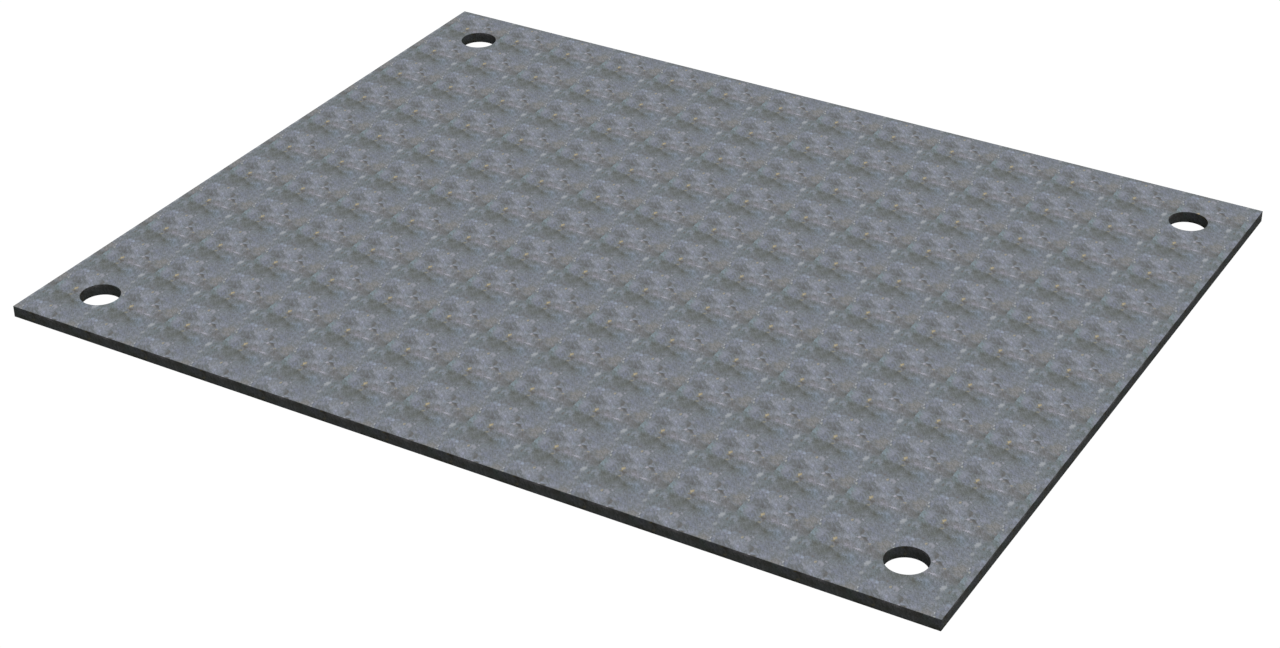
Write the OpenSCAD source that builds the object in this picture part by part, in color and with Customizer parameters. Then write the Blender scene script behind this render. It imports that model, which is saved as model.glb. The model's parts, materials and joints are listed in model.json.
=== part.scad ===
// Steel road plate: one rectangle of hot-rolled plate, cut to size, with a lifting hole near each corner.
// Millimetres. The origin is the middle of the underside, +X runs along the length and +Z is up.

/* [Plate] */
// Length of the plate, along X
plate_length = 2500; // [1000:50:6000]
// Width of the plate, along Y
plate_width = 2000; // [1000:50:3000]
// Thickness of the rolled stock
plate_thickness = 30; // [12:1:60]

/* [Lifting holes] */
// Diameter of each lifting hole
hole_diameter = 100; // [30:1:120]
// Distance from each short end of the plate to the hole centres
hole_end_distance = 150; // [100:5:300]
// Distance from each long side of the plate to the hole centres
hole_side_distance = 150; // [100:5:300]

/* [Edges] */
// Width of the 45 degree break along every outer edge
edge_break = 1; // [0.5:0.5:3]
// Width of the 45 degree break round both mouths of each hole
mouth_break = 1; // [0.5:0.5:3]

/* [Hidden] */
$fn = 96;
// How far a cutter runs past the face that it cuts
overcut = 1;
hole_radius = hole_diameter / 2;
hole_x = plate_length / 2 - hole_end_distance;
hole_y = plate_width / 2 - hole_side_distance;

// A rectangle about the origin, with its four corners cut at 45 degrees.
module broken_rectangle(size, cut) {
    half = size / 2;
    polygon([
        [half.x - cut, -half.y], [half.x, cut - half.y],
        [half.x, half.y - cut], [half.x - cut, half.y],
        [cut - half.x, half.y], [-half.x, half.y - cut],
        [-half.x, cut - half.y], [cut - half.x, -half.y]
    ]);
}

// The blank is what its plan, its long section and its cross section have in common,
// so each of its twelve edges and eight corners is broken.
module blank() {
    translate([0, 0, plate_thickness / 2])
        intersection() {
            linear_extrude(height = plate_thickness, center = true)
                broken_rectangle([plate_length, plate_width], edge_break);
            rotate([90, 0, 0])
                linear_extrude(height = plate_width, center = true)
                    broken_rectangle([plate_length, plate_thickness], edge_break);
            rotate([90, 0, 90])
                linear_extrude(height = plate_length, center = true)
                    broken_rectangle([plate_width, plate_thickness], edge_break);
        }
}

// What one lifting hole takes away: a round bore that widens by the break at both faces.
module lifting_hole() {
    mouth_radius = hole_radius + mouth_break + overcut;
    rotate_extrude()
        polygon([
            [0, -overcut],
            [mouth_radius, -overcut],
            [hole_radius, mouth_break],
            [hole_radius, plate_thickness - mouth_break],
            [mouth_radius, plate_thickness + overcut],
            [0, plate_thickness + overcut]
        ]);
}

module plate() {
    color("slategray")
        difference() {
            blank();
            for (side_x = [-1, 1], side_y = [-1, 1])
                translate([side_x * hole_x, side_y * hole_y, 0])
                    lifting_hole();
        }
}

plate();
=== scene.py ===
import json
import math

import bmesh
import bpy
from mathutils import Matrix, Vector, geometry, noise


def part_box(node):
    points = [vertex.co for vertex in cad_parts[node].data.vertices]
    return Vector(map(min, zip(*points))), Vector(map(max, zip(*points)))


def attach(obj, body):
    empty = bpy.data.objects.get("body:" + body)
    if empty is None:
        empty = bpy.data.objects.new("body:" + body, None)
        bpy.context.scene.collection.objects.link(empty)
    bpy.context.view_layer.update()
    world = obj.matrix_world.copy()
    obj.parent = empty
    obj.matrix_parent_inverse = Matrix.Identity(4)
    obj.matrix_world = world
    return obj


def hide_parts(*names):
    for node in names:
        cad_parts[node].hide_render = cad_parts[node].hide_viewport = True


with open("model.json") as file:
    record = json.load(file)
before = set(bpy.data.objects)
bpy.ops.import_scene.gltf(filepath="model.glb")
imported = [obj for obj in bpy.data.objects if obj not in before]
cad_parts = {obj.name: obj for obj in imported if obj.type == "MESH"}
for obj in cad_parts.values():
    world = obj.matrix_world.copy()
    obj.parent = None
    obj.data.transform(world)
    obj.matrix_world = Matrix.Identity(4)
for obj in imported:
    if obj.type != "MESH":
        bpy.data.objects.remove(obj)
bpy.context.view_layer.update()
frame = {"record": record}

# Plate: shape
# One rectangle of hot-rolled steel plate, cut to size by a gas torch, with a lifting hole near each corner.
# The broad faces stay flat, as they left the rolls. The torch leaves fine drag lines down every cut wall.
mm = 0.001
low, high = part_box("plate")
length, width, thickness = high - low
bores = [mount for mount in frame["record"]["mounts"] if mount["kind"] == "bore"]
edge_radius = 0.5 * mm
corner_radius = 1 * mm
corner_steps = 4
round_steps = 3
wall_steps = 6
# A real drag line is about 2 mm wide. It is drawn wider here, as the walls' columns can't be much closer.
column_gap = 2.25 * mm
line_width = 5 * mm
line_depth = 0.2 * mm
line_lag = 7 * mm
line_run = 30 * mm
wander_length = 160 * mm
wander_depth = 0.25 * mm


def torch_bite(point, along, depth):
    """How deep the torch bit into a wall: drag lines that trail behind it down the cut, and a slow wander."""
    trailing = point + along * line_lag * (depth / thickness) ** 2
    line = noise.noise(Vector((trailing.x / line_width, trailing.y / line_width, depth / line_run)))
    wander = noise.noise(point / wander_length)
    return line_depth * (0.5 + 0.5 * line) + wander_depth * (0.5 + 0.5 * wander)


# The walls' section from the upper face down: how far below that face, and how far inside the cut.
section = []
for step in range(round_steps + 1):
    angle = math.radians(90) * step / round_steps
    section.append((edge_radius * (1 - math.cos(angle)), edge_radius * (1 - math.sin(angle))))
upper_round = list(section)
for step in range(1, wall_steps):
    section.append((edge_radius + (thickness - 2 * edge_radius) * step / wall_steps, 0))
section += [(thickness - depth, inset) for depth, inset in reversed(upper_round)]

# Each cut is a closed run of columns: a point on the wall, the way out of the steel, and the wall's number.
sides = 4
outline = []
for side in range(sides):
    start = math.radians(90 * side)
    corner = Vector((
        (length / 2 - corner_radius) * (1, -1, -1, 1)[side],
        (width / 2 - corner_radius) * (1, 1, -1, -1)[side],
        0,
    ))
    for step in range(corner_steps + 1):
        angle = start + math.radians(90) * step / corner_steps
        out = Vector((math.cos(angle), math.sin(angle), 0))
        outline.append((corner + out * corner_radius, out, side))
    straight = (length, width)[side % 2] - 2 * corner_radius
    along = Vector((-out.y, out.x, 0))
    columns = round(straight / column_gap)
    for step in range(1, columns):
        outline.append((corner + out * corner_radius + along * straight * step / columns, out, side))
cuts = [outline]
for number, bore in enumerate(bores):
    middle = Vector((bore["pos_m"][0], bore["pos_m"][1], 0))
    radius = bore["dims"]["r_mm"] * mm
    columns = round(math.tau * radius / column_gap)
    ring = []
    for step in range(columns):
        angle = math.tau * step / columns
        out = -Vector((math.cos(angle), math.sin(angle), 0))
        ring.append((middle - out * radius, out, sides + number))
    cuts.append(ring)

# The flat map for a baked picture: one repeat of the rolled faces fills a square, with the walls above it.
square = 0.88
strip_rise = 0.018
strip_gap = 0.003
strip_margin = 0.01
strip_room = 1 - 2 * strip_margin


def on_strip(wall, share, depth):
    """The map's place for a share of a wall's length and a depth: a row for each side, one for the holes."""
    row = min(wall, sides)
    if wall >= sides:
        share = (wall - sides + share * (1 - strip_margin)) / len(bores)
    upper = square + strip_margin + row * (strip_rise + strip_gap) + strip_rise
    return strip_margin + strip_room * share, upper - strip_rise * depth / thickness


plate_mesh = bpy.data.meshes.new("road_plate")
body = bmesh.new()
face_map = body.loops.layers.uv.new("OFBake")
scale_slot, side_slot, bore_slot = 0, 1, 2
rims = {0: [], len(section) - 1: []}
for cut in cuts:
    columns = []
    reached = []
    wall_length = {}
    for index, (point, out, wall) in enumerate(cut):
        ahead = cut[(index + 1) % len(cut)][0] - point
        along = ahead.normalized()
        column = []
        for depth, inset in section:
            sunk = inset + torch_bite(point, along, depth)
            column.append(body.verts.new(point - out * sunk + Vector((0, 0, high.z - depth))))
        columns.append(column)
        reached.append(wall_length.get(wall, 0))
        wall_length[wall] = reached[index] + ahead.length
    for index, here in enumerate(columns):
        after = (index + 1) % len(columns)
        there = columns[after]
        wall = cut[index][2]
        begin = reached[index] / wall_length[wall]
        end = reached[after] / wall_length[wall] if cut[after][2] == wall and after else 1
        for level in range(len(section) - 1):
            upper, lower = section[level][0], section[level + 1][0]
            face = body.faces.new((here[level], there[level], there[level + 1], here[level + 1]))
            face.material_index = side_slot if cut is outline else bore_slot
            spots = ((begin, upper), (end, upper), (end, lower), (begin, lower))
            for loop, (share, depth) in zip(face.loops, spots):
                loop[face_map].uv = on_strip(wall, share, depth)
    for level, loops in rims.items():
        loops.append([column[level] for column in columns])

# The marks on the rolled faces repeat every 175.5 mm both ways, from the middle of the plate.
repeat = 175.5 * mm
lattice_gap = repeat / 3
lattice_margin = 12 * mm
merge_distance = 1e-7
cut_distance = 1e-6
lattice = []
for row in range(-round(width / lattice_gap), round(width / lattice_gap) + 1):
    for column in range(-round(length / lattice_gap), round(length / lattice_gap) + 1):
        spot = Vector((column * lattice_gap, row * lattice_gap))
        inside = abs(spot.x) < length / 2 - lattice_margin and abs(spot.y) < width / 2 - lattice_margin
        clear = all(
            (spot - Vector(bore["pos_m"][:2])).length > bore["dims"]["r_mm"] * mm + lattice_margin
            for bore in bores
        )
        if inside and clear:
            lattice.append(spot)
for level, loops in rims.items():
    corners = []
    rim_of = []
    borders = []
    for number, loop in enumerate(loops):
        first = len(corners)
        borders += [(first + i, first + (i + 1) % len(loop)) for i in range(len(loop))]
        corners += loop
        rim_of += [number] * len(loop)
    height = corners[0].co.z
    corners += [body.verts.new((spot.x, spot.y, height)) for spot in lattice]
    rim_of += [None] * len(lattice)
    flat = [vert.co.to_2d() for vert in corners]
    all_triangles = 0
    filled = geometry.delaunay_2d_cdt(flat, borders, [], all_triangles, merge_distance)
    triangles, origins = filled[2], filled[3]
    for triangle in triangles:
        spots = sorted(origins[i][0] for i in triangle)
        met = {rim_of[spot] for spot in spots}
        if len(met) == 1 and None not in met:
            # All three corners are on one rim, so the triangle lies inside that rim or in a dent outside it.
            within = (flat[spots[1]] - flat[spots[0]]).cross(flat[spots[2]] - flat[spots[0]]) > 0
            steel = within == (met == {0})
            if not steel:
                continue
        face = body.faces.new([corners[origins[i][0]] for i in triangle])
        face.material_index = scale_slot
bmesh.ops.recalc_face_normals(body, faces=body.faces)

# The rolled faces are cut along the repeat's lines, so that every repeat takes the same square of the map.
for axis, reach in ((0, length / 2), (1, width / 2)):
    across = Vector((0, 0, 0))
    across[axis] = 1
    lines = math.floor(reach / repeat)
    for line in range(-lines, lines + 1):
        faces = []
        for face in body.faces:
            spots = [vert.co[axis] for vert in face.verts]
            if face.material_index == scale_slot and min(spots) < line * repeat < max(spots):
                faces.append(face)
        edges = {edge for face in faces for edge in face.edges}
        verts = {vert for face in faces for vert in face.verts}
        bmesh.ops.bisect_plane(
            body, geom=[*faces, *edges, *verts], dist=cut_distance,
            plane_co=across * line * repeat, plane_no=across,
        )
for face in body.faces:
    face.smooth = True
    if face.material_index == scale_slot:
        middle = face.calc_center_median()
        cell = math.floor(middle.x / repeat), math.floor(middle.y / repeat)
        for loop in face.loops:
            loop[face_map].uv = [square * (loop.vert.co[axis] / repeat - cell[axis]) for axis in (0, 1)]
for edge in body.edges:
    edge.smooth = edge.link_faces[0].material_index == edge.link_faces[1].material_index
body.to_mesh(plate_mesh)
body.free()
plate = bpy.data.objects.new("road_plate", plate_mesh)
bpy.context.scene.collection.objects.link(plate)


# Plate: mill scale on the broad faces
# Hot rolling leaves a thin skin of blue-grey iron oxide, matt and smooth, clouded lilac, blue, teal and olive
# where it cooled unevenly, with slanting streaks, and flaked in spots to bare steel, rust and short cracks.
def linear(hex_colour):
    """An sRGB hex colour as linear red, green, blue and alpha."""
    parts = [int(hex_colour[i:i + 2], 16) / 255 for i in (0, 2, 4)]
    return [p / 12.92 if p <= 0.04045 else ((p + 0.055) / 1.055) ** 2.4 for p in parts] + [1]


def add(tree, kind, inputs, **settings):
    """Adds a node with its settings. Each of its inputs is a value or another node's output."""
    node = tree.nodes.new("ShaderNode" + kind)
    for name, value in settings.items():
        setattr(node, name, value)
    for socket, value in inputs.items():
        if isinstance(value, bpy.types.NodeSocket):
            tree.links.new(value, node.inputs[socket])
        else:
            node.inputs[socket].default_value = value
    return node


# The scale's own grey, and the colours of its stains.
scale_grey = "7A7F85"
lilac = "8B8F9E"
pale_lilac = "90949E"
rose = "908D95"
slate = "787D8D"
blue = "73808C"
teal = "829298"
moss = "6C7879"
olive = "5E625B"
soot = "68696C"
brown = "6F6A66"
tan = "8D8985"
ash = "878B92"
# Soft stains: colour, lie, middle and half length in mm within the repeat, and strength.
stains = [
    (olive, "round", (60, 156), 30, 0.73),
    (olive, "round", (29, 160), 24, 0.74),
    (olive, "slanting", (92, 146), 30, 0.85),
    (olive, "level", (45, 140), 38, 0.52),
    (olive, "level", (94, 171), 16, 0.65),
    (olive, "upright", (53, 135), 16, 0.3),
    (olive, "round", (68, 121), 13, 0.3),
    (olive, "round", (84, 134), 14, 0.35),
    (olive, "upright", (175, 14), 22, 0.5),
    (olive, "slanting", (108, 95), 12, 0.35),
    (olive, "slanting", (94, 121), 10, 0.35),
    (soot, "level", (40, 119), 28, 0.35),
    (moss, "upright", (4, 136), 42, 0.5),
    (moss, "level", (10, 172), 24, 0.6),
    (moss, "level", (10, 4), 20, 0.65),
    (moss, "upright", (172, 150), 38, 0.5),
    (moss, "upright", (143, 148), 15, 0.4),
    (moss, "upright", (166, 110), 16, 0.35),
    (moss, "round", (92, 121), 13, 0.35),
    (ash, "round", (8, 159), 15, 0.5),
    (blue, "round", (112, 155), 25, 0.6),
    (blue, "round", (122, 140), 22, 0.45),
    (blue, "level", (10, 109), 14, 0.35),
    (slate, "round", (138, 155), 20, 0.4),
    (slate, "upright", (142, 128), 24, 0.35),
    (slate, "round", (102, 96), 21, 0.5),
    (slate, "level", (120, 88), 27, 0.5),
    (slate, "level", (124, 112), 34, 0.4),
    (slate, "round", (152, 102), 16, 0.35),
    (slate, "level", (14, 86), 24, 0.5),
    (lilac, "level", (20, 99), 28, 0.7),
    (pale_lilac, "slanting", (60, 80), 44, 0.72),
    (lilac, "round", (70, 68), 27, 0.5),
    (pale_lilac, "level", (75, 43), 29, 0.85),
    (pale_lilac, "round", (62, 38), 14, 0.3),
    (lilac, "upright", (22, 25), 28, 0.85),
    (slate, "round", (35, 8), 15, 0.6),
    (teal, "upright", (3, 25), 26, 0.85),
    (rose, "level", (90, 17), 34, 0.65),
    (pale_lilac, "slanting", (109, 29), 23, 0.7),
    (lilac, "round", (127, 64), 20, 0.75),
    (ash, "round", (98, 106), 15, 0.35),
    (ash, "round", (162, 92), 18, 0.45),
    (ash, "slanting", (72, 133), 13, 0.4),
    (ash, "thin", (20, 140), 17, 0.5),
    (ash, "round", (38, 152), 8, 0.45),
    (ash, "round", (90, 160), 11, 0.4),
    (slate, "upright", (5, 62), 26, 0.55),
    (soot, "level", (38, 52), 32, 0.7),
    (soot, "round", (24, 66), 15, 0.4),
    (brown, "round", (97, 71), 13, 0.6),
    (brown, "level", (113, 52), 19, 0.4),
    (tan, "round", (161, 56), 30, 0.58),
    (tan, "round", (147, 52), 15, 0.4),
    (tan, "level", (124, 37), 20, 0.35),
    (brown, "level", (128, 7), 15, 0.35),
    (brown, "round", (142, 24), 24, 0.58),
    (brown, "round", (163, 9), 20, 0.44),
    (tan, "round", (165, 35), 13, 0.45),
    (brown, "round", (64, 9), 14, 0.7),
    (tan, "round", (58, 21), 14, 0.4),
    (ash, "level", (108, 5), 14, 0.35),
]
# The colours of bare steel, of frosted and pale scale, and of fresh rust.
bare = "B5B9BE"
frost = "B8B7C4"
pale = "A2A3AE"
sky = "A0ABBE"
bone = "B4B6AE"
blush = "A49A96"
yellow = "C6B68C"
amber = "B9A160"
ochre = "857A55"
# Sharper flecks where the scale is thin or has lifted to bare steel or fresh rust, given the same way.
flecks = [
    (bare, "standing", (155, 152.5), 15, 0.6),
    (bare, "standing", (156.5, 166), 8, 0.25),
    (bare, "standing", (158, 116.5), 10.5, 0.42),
    (pale_lilac, "upright", (18, 26), 19, 0.35),
    (pale, "rising", (130, 60), 10, 0.25),
    (pale, "steep", (67, 105), 10, 0.6),
    (pale, "steep", (73, 100), 10, 0.6),
    (sky, "round", (25, 102.5), 5.5, 0.7),
    (sky, "slanting", (14, 105), 7, 0.35),
    (sky, "level", (35, 109), 8, 0.35),
    (yellow, "standing", (54.8, 21.5), 9.5, 0.65),
    (amber, "round", (57.5, 26), 4, 0.6),
    (ochre, "upright", (55.5, 13), 5, 0.85),
    (yellow, "steep", (57.5, 102.5), 6, 0.45),
    (yellow, "rising", (63.5, 170), 7, 0.28),
    (yellow, "rising", (128.8, 40.5), 5, 0.55),
    (frost, "flat", (115, 11.5), 11, 0.85),
    (pale, "level", (125, 11.5), 11, 0.4),
    (pale, "steep", (146.5, 8.5), 5, 0.5),
    (pale, "slanting", (77, 114), 5.5, 0.65),
    (bone, "steep", (3.3, 54.5), 4.8, 0.75),
    (bare, "steep", (174.3, 66.8), 4.5, 0.9),
    (frost, "rising", (97.5, 53), 8, 0.8),
    (sky, "level", (105.5, 61), 8, 0.35),
    (blush, "round", (106.3, 48), 4.5, 0.5),
    (pale, "slanting", (99, 87), 8, 0.4),
    (pale, "slanting", (78, 83), 7, 0.3),
    (pale, "slanting", (155, 95), 9, 0.35),
    (pale, "slanting", (133, 93), 9, 0.3),
    (pale, "slanting", (125, 27), 7, 0.4),
    (pale, "slanting", (77.5, 40), 8, 0.4),
    (sky, "slanting", (141, 115), 7, 0.3),
    (sky, "upright", (134, 138), 10, 0.2),
    (sky, "round", (128, 121), 8, 0.25),
    (sky, "upright", (5, 87), 9, 0.15),
    (sky, "round", (5, 158), 8, 0.3),
    (sky, "round", (101, 156), 5.5, 0.35),
    (sky, "round", (114, 160), 5.5, 0.35),
    (pale, "thin", (45, 76), 16, 0.4),
    (pale, "thin", (35, 84), 12, 0.3),
    (pale, "steep", (4, 75), 7, 0.4),
    (pale, "round", (18, 79), 8, 0.3),
    (sky, "round", (84, 50), 7, 0.3),
    (sky, "round", (62, 91), 6, 0.3),
]
# The colours of a crack and of old rust.
crack = "54524E"
rust = "6F645C"
# Short cracks and burnt spots, darker and deeper, given the same way.
cracks = [
    (crack, "upright", (80.5, 95), 5, 0.4),
    (crack, "plunging", (92, 76), 17, 0.33),
    (crack, "steep", (96, 65), 6, 0.35),
    (crack, "level", (108, 56), 7, 0.5),
    (crack, "sloping", (115, 51.5), 15, 0.6),
    (crack, "level", (62.5, 10.5), 9, 0.7),
    (crack, "thin", (80, 31), 12, 0.25),
    (crack, "thin", (102, 23), 12, 0.25),
    (crack, "round", (138, 26), 7, 0.25),
    (crack, "round", (140.8, 134), 5.5, 0.4),
    (crack, "slanting", (27, 110), 8, 0.3),
    (crack, "slanting", (73, 112), 6, 0.35),
    (crack, "round", (5.5, 116), 5, 0.5),
    (crack, "round", (3.5, 128), 5, 0.35),
    (crack, "slanting", (9, 148), 7, 0.3),
    (crack, "slanting", (82, 144), 6, 0.4),
    (crack, "steep", (90, 144), 8, 0.35),
    (crack, "steep", (60, 154), 8, 0.3),
    (crack, "level", (64, 161), 10, 0.4),
    (crack, "slanting", (42, 48), 9, 0.3),
    (crack, "round", (29, 47), 6, 0.3),
    (crack, "round", (25, 161), 6, 0.35),
    (crack, "upright", (172, 15), 10, 0.35),
    (rust, "round", (43, 117), 5, 0.4),
    (rust, "upright", (172, 31), 7, 0.5),
    (rust, "upright", (172.5, 146), 9, 0.45),
]
# A mark's lie: its turn in degrees, and how many times longer than broad it is.
lies = {
    "round": (0, 1),
    "level": (-10, 1.8),
    "slanting": (-48, 1.8),
    "steep": (-70, 1.8),
    "upright": (82, 1.6),
    "thin": (-48, 4),
    "flat": (-6, 3),
    "standing": (84, 2),
    "rising": (29, 2),
    "sloping": (-31, 3.5),
    "plunging": (-66, 2.8),
}
# Each group's marks with the share of the half length that is at full strength, the waver of their edges
# in mm, and how far the strong ones are sunk in mm.
mark_groups = [(stains, 0, 36, 0), (flecks, 0.4, 14, 0.12), (cracks, 0.25, 12, 0.3)]
# Marks at least this strong are sunk into the scale. The specks of its grain stand up this far, in mm.
strong = 0.6
speck_rise = 0.06
# Grain in the scale: the turns in each repeat and the size in mm along each of two ways, and the detail.
# Whole turns make it join up with itself.
grain_kinds = {
    "cloud": (((1, 0), 20), ((0, 1), 20), 2),
    "streak": (((1, 1), 4), ((-1, 1), 14), 1.5),
    "scratch": (((2, 1), 3.5), ((-1, 2), 11), 1),
    "speck": (((1, 0), 2.2), ((0, 1), 2.2), 2),
}
# The noise's middle, how far it mostly goes either way, and how far it hardly ever passes.
noise_middle = 0.5
noise_spread = 0.2
noise_limit = 0.25
# What the darkest and lightest of each grain multiply the colour by: olive where dark, lilac where light.
grain_tones = {
    "streak": ((0.86, 0.86, 0.82), (1.14, 1.14, 1.18)),
    "scratch": ((0.88, 0.88, 0.84), (1.12, 1.12, 1.16)),
    "speck": ((0.7, 0.7, 0.7), (1.3, 1.3, 1.3)),
}

# One mark with a soft rim, laid over the colour beneath: full strength to one distance, none past another.
mark_kind = bpy.data.node_groups.new("scale_mark", "ShaderNodeTree")
for name, kind in (
    ("Place", "Vector"), ("Middle", "Vector"), ("Full", "Float"), ("Reach", "Float"), ("Strength", "Float"),
    ("Under", "Color"), ("Over", "Color"),
):
    mark_kind.interface.new_socket(name, in_out="INPUT", socket_type="NodeSocket" + kind)
for name, kind in (("Colour", "Color"), ("Cover", "Float")):
    mark_kind.interface.new_socket(name, in_out="OUTPUT", socket_type="NodeSocket" + kind)
given = mark_kind.nodes.new("NodeGroupInput").outputs
away = add(
    mark_kind, "VectorMath", {0: given["Place"], 1: given["Middle"]}, operation="DISTANCE",
).outputs["Value"]
cover = add(
    mark_kind, "MapRange",
    {
        "Value": away,
        "From Min": given["Reach"],
        "From Max": given["Full"],
        "To Min": 0,
        "To Max": given["Strength"],
    },
    interpolation_type="SMOOTHSTEP",
).outputs["Result"]
# A Mix node's colours go in at its sockets 6 and 7, and come out at 2.
covered = add(
    mark_kind, "Mix", {"Factor": cover, 6: given["Under"], 7: given["Over"]}, data_type="RGBA",
).outputs[2]
made = mark_kind.nodes.new("NodeGroupOutput").inputs
mark_kind.links.new(covered, made["Colour"])
mark_kind.links.new(cover, made["Cover"])

# All the marks of rolled steel at a flat place, alike in each repeat: colour, relief in mm and bareness.
rolled_marks = bpy.data.node_groups.new("rolled_marks", "ShaderNodeTree")
rolled_marks.interface.new_socket("Place", in_out="INPUT", socket_type="NodeSocketVector")
for name, kind in (("Colour", "Color"), ("Relief", "Float"), ("Bareness", "Float")):
    rolled_marks.interface.new_socket(name, in_out="OUTPUT", socket_type="NodeSocket" + kind)
tree = rolled_marks
place = tree.nodes.new("NodeGroupInput").outputs["Place"]
grain = {}
for name, (first, second, detail) in grain_kinds.items():
    waves = []
    for turns, size in (first, second):
        turning = [turn * math.tau / repeat for turn in turns] + [0]
        ring_radius = repeat / (size * mm * math.hypot(*turns) * math.tau)
        angle = add(tree, "VectorMath", {0: place, 1: turning}, operation="DOT_PRODUCT").outputs["Value"]
        for operation in ("COSINE", "SINE"):
            wave = add(tree, "Math", {0: angle}, operation=operation).outputs[0]
            waves.append(add(tree, "Math", {0: wave, 1: ring_radius}, operation="MULTIPLY").outputs[0])
    rings = add(tree, "CombineXYZ", {0: waves[0], 1: waves[1], 2: waves[2]}).outputs[0]
    grain[name] = add(
        tree, "TexNoise",
        {"Vector": rings, "W": waves[3], "Scale": 1, "Detail": detail},
        noise_dimensions="4D",
    ).outputs["Fac"]
cell = add(
    tree, "VectorMath", {0: place, 1: (repeat, repeat, 1), 2: (0, 0, -1)}, operation="WRAP",
).outputs[0]
colour = linear(scale_grey)
relief = 0
bareness = 0
for marks, core, waver, depth in mark_groups:
    swings = ("cloud", "streak") if marks is stains else ("streak", "speck")
    swing = add(tree, "CombineXYZ", {0: grain[swings[0]], 1: grain[swings[1]]}).outputs[0]
    swing = add(
        tree, "VectorMath", {0: swing, 1: (noise_middle, noise_middle, 0)}, operation="SUBTRACT",
    ).outputs[0]
    wavering = add(
        tree, "VectorMath", {0: swing, 1: [waver * mm] * 3, 2: cell}, operation="MULTIPLY_ADD",
    ).outputs[0]
    # In a lie's own place, its marks are round.
    lie_ways = {}
    lie_place = {}
    for lie in sorted({mark[1] for mark in marks}):
        turn, ratio = math.radians(lies[lie][0]), lies[lie][1]
        long_way = Vector((math.cos(turn), math.sin(turn), 0))
        short_way = Vector((-math.sin(turn), math.cos(turn), 0)) * ratio
        lie_ways[lie] = (long_way, short_way)
        shares = [
            add(tree, "VectorMath", {0: wavering, 1: way}, operation="DOT_PRODUCT").outputs["Value"]
            for way in lie_ways[lie]
        ]
        lie_place[lie] = add(tree, "CombineXYZ", {0: shares[0], 1: shares[1]}).outputs[0]
    for hex_colour, lie, middle, half_length, strength in marks:
        # A mark ends at the repeat's sides, but goes on over its lower and upper ends.
        reach = half_length * mm
        margin = reach + waver * mm * noise_limit
        for shift in (-1, 0, 1):
            spot = Vector((middle[0] * mm, middle[1] * mm + shift * repeat, 0))
            if not -margin < spot.y < repeat + margin:
                continue
            mark = add(
                tree, "Group",
                {
                    "Place": lie_place[lie],
                    "Middle": (spot.dot(lie_ways[lie][0]), spot.dot(lie_ways[lie][1]), 0),
                    "Full": reach * core,
                    "Reach": reach,
                    "Strength": strength,
                    "Under": colour,
                    "Over": linear(hex_colour),
                },
                node_tree=mark_kind,
            ).outputs
            colour = mark["Colour"]
            if depth and strength >= strong:
                relief = add(
                    tree, "Math", {0: mark["Cover"], 1: -depth, 2: relief}, operation="MULTIPLY_ADD",
                ).outputs[0]
            if marks is flecks and strength >= strong:
                bareness = add(tree, "Math", {0: mark["Cover"], 1: bareness}, operation="MAXIMUM").outputs[0]
    if marks is stains:
        for name, (darkest, lightest) in grain_tones.items():
            # A MapRange node's vectors go in at its sockets 6 to 10, and come out at 1.
            tone = add(
                tree, "MapRange",
                {
                    6: grain[name],
                    7: [noise_middle - noise_spread] * 3,
                    8: [noise_middle + noise_spread] * 3,
                    9: darkest,
                    10: lightest,
                },
                data_type="FLOAT_VECTOR",
            ).outputs[1]
            colour = add(tree, "VectorMath", {0: colour, 1: tone}, operation="MULTIPLY").outputs[0]
relief = add(tree, "Math", {0: grain["speck"], 1: speck_rise, 2: relief}, operation="MULTIPLY_ADD").outputs[0]
made = tree.nodes.new("NodeGroupOutput").inputs
for name, value in (("Colour", colour), ("Relief", relief), ("Bareness", bareness)):
    tree.links.new(value, made[name])

# Mill scale is an oxide and not bare metal: a matt skin with hardly a highlight, smoother where it lifted.
scale_roughness = 0.72
bare_roughness = 0.5
scale_gloss = 0.25
mill_scale = bpy.data.materials.new("mill_scale_hot_rolled")
mill_scale.use_nodes = True
tree = mill_scale.node_tree
tree.nodes.clear()
place = add(tree, "TexCoord", {}).outputs["Object"]
flat_place = add(tree, "VectorMath", {0: place, 1: (1, 1, 0)}, operation="MULTIPLY").outputs[0]
marks = add(tree, "Group", {"Place": flat_place}, node_tree=rolled_marks).outputs
roughness = add(
    tree, "MapRange", {"Value": marks["Bareness"], "To Min": scale_roughness, "To Max": bare_roughness},
).outputs["Result"]
normal = add(tree, "Bump", {"Height": marks["Relief"], "Distance": mm}).outputs[0]
surface = add(
    tree, "BsdfPrincipled",
    {
        "Base Color": marks["Colour"],
        "Roughness": roughness,
        "Normal": normal,
        "Specular IOR Level": scale_gloss,
    },
)
add(tree, "OutputMaterial", {"Surface": surface.outputs[0]})

# Plate: black oxide on the torch-cut walls, with painted shade in the holes
# The torch burns the cut to a hard, near-black oxide, matt and a little warmer than the scale, in which the
# steel's own stains still show faintly. The walls in the holes are painted darker still: painted shade, for
# the shade that falls inside the holes.
oxide_roughness = 0.8
oxide_gloss = 0.2
# Where in the repeat the stains on the walls begin, at the plate's middle and underside.
stains_from = Vector((143.5, 160, 0)) * mm
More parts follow.
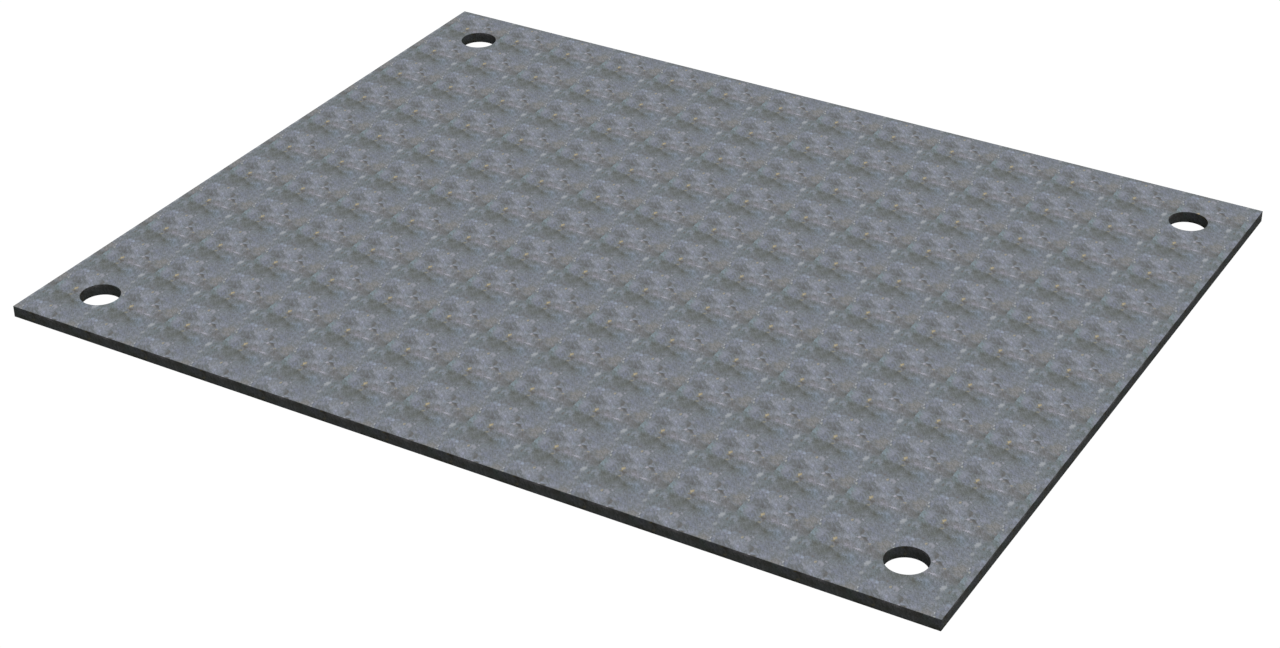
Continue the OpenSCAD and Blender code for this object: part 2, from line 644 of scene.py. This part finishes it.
# What the burnt skin leaves of the rolled faces' red, green and blue; in the holes, painted shade darkens it
# further.
oxide_and_painted_shade_tones = {
    "black_oxide_flame_cut_side": (0.43, 0.42, 0.375),
    # In the holes: the oxide, with painted shade on top of it.
    "black_oxide_flame_cut_bore_painted_shade": (0.33, 0.325, 0.295),
}
plate_mesh.materials.append(mill_scale)
for name, oxide_and_painted_shade in oxide_and_painted_shade_tones.items():
    black_oxide = bpy.data.materials.new(name)
    black_oxide.use_nodes = True
    tree = black_oxide.node_tree
    tree.nodes.clear()
    place = add(tree, "TexCoord", {}).outputs["Object"]
    along = add(tree, "VectorMath", {0: place, 1: (1, 1, 0)}, operation="DOT_PRODUCT").outputs["Value"]
    rise = add(tree, "SeparateXYZ", {0: place}).outputs["Z"]
    wall_place = add(tree, "CombineXYZ", {0: along, 1: rise}).outputs[0]
    wall_place = add(tree, "VectorMath", {0: wall_place, 1: stains_from}, operation="ADD").outputs[0]
    marks = add(tree, "Group", {"Place": wall_place}, node_tree=rolled_marks).outputs
    colour = add(tree, "VectorMath", {0: marks["Colour"], 1: oxide_and_painted_shade}, operation="MULTIPLY").outputs[0]
    normal = add(tree, "Bump", {"Height": marks["Relief"], "Distance": mm}).outputs[0]
    surface = add(
        tree, "BsdfPrincipled",
        {
            "Base Color": colour,
            "Roughness": oxide_roughness,
            "Normal": normal,
            "Specular IOR Level": oxide_gloss,
        },
    )
    add(tree, "OutputMaterial", {"Surface": surface.outputs[0]})
    plate_mesh.materials.append(black_oxide)

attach(plate, "root")
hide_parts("plate")

# Floor
# A plain white sheet, lit from within like a light table, so that the plate throws no shadow on it.
# It lies just under the plate, and neither lights the plate nor shows in it.
floor_half = 60
floor_drop = 0.1 * mm
sheet_light = 1.03
floor_mesh = bpy.data.meshes.new("floor")
floor_corners = [
    (-floor_half, -floor_half, 0),
    (floor_half, -floor_half, 0),
    (floor_half, floor_half, 0),
    (-floor_half, floor_half, 0),
]
floor_mesh.from_pydata(floor_corners, [], [(0, 1, 2, 3)])
floor = bpy.data.objects.new("floor", floor_mesh)
floor.location.z = low.z - floor_drop
floor.visible_diffuse = False
floor.visible_glossy = False
bpy.context.scene.collection.objects.link(floor)
white_sheet = bpy.data.materials.new("white_sheet_lit")
white_sheet.use_nodes = True
tree = white_sheet.node_tree
tree.nodes.clear()
glow = add(tree, "Emission", {"Color": (1, 1, 1, 1), "Strength": sheet_light})
add(tree, "OutputMaterial", {"Surface": glow.outputs[0]})
floor_mesh.materials.append(white_sheet)

# Studio light
# A soft dome, brightest overhead, dim at the horizon and a little brighter at the right. Hardly any light
# comes from below, where the floor would block it. The camera sees a white backdrop in the dome's place.
overhead_light = 1.86
horizon_light = 0.23
light_below = 0.02
horizon_blend = 0.1
right_share = 0.6
world = bpy.data.worlds.new("studio")
world.use_nodes = True
bpy.context.scene.world = world
tree = world.node_tree
tree.nodes.clear()
direction = add(tree, "TexCoord", {}).outputs["Generated"]
bearing = add(tree, "SeparateXYZ", {0: direction}).outputs
level_light = add(
    tree, "MapRange",
    {
        "Value": bearing["Z"],
        "From Min": -horizon_blend,
        "From Max": 0,
        "To Min": light_below,
        "To Max": horizon_light,
    },
).outputs["Result"]
above = add(tree, "Math", {0: bearing["Z"], 1: 0}, operation="MAXIMUM").outputs[0]
squared = add(tree, "Math", {0: above, 1: above}, operation="MULTIPLY").outputs[0]
even_light = add(
    tree, "Math", {0: squared, 1: overhead_light, 2: level_light}, operation="MULTIPLY_ADD",
).outputs[0]
lean = add(tree, "Math", {0: bearing["X"], 1: right_share, 2: 1}, operation="MULTIPLY_ADD").outputs[0]
strength = add(tree, "Math", {0: even_light, 1: lean}, operation="MULTIPLY").outputs[0]
dome = add(tree, "Background", {"Strength": strength})
backdrop = add(tree, "Background", {"Strength": sheet_light})
camera_sees = add(tree, "LightPath", {}).outputs["Is Camera Ray"]
both = add(tree, "MixShader", {0: camera_sees, 1: dome.outputs[0], 2: backdrop.outputs[0]})
add(tree, "OutputWorld", {"Surface": both.outputs[0]})
bpy.context.scene.view_settings.view_transform = "Standard"

# Camera
# It looks down on the plate over its front right corner, from 3.3 m up, through a short telephoto lens.
# Its turn and drop are in degrees, and its distance and aim in metres.
view_turn = 30
view_drop = 31.351
view_distance = 6.353
aim = Vector((0.163, -0.282, high.z))
camera_data = bpy.data.cameras.new("camera")
camera_data.sensor_width = 36
camera_data.lens = 73.594
camera_data.shift_x = -0.0136
camera = bpy.data.objects.new("camera", camera_data)
turn, drop = math.radians(view_turn), math.radians(view_drop)
toward = Vector((-math.sin(turn) * math.cos(drop), math.cos(turn) * math.cos(drop), -math.sin(drop)))
camera.location = aim - toward * view_distance
camera.rotation_euler = (math.radians(90) - drop, 0, turn)
bpy.context.scene.collection.objects.link(camera)
bpy.context.scene.camera = camera
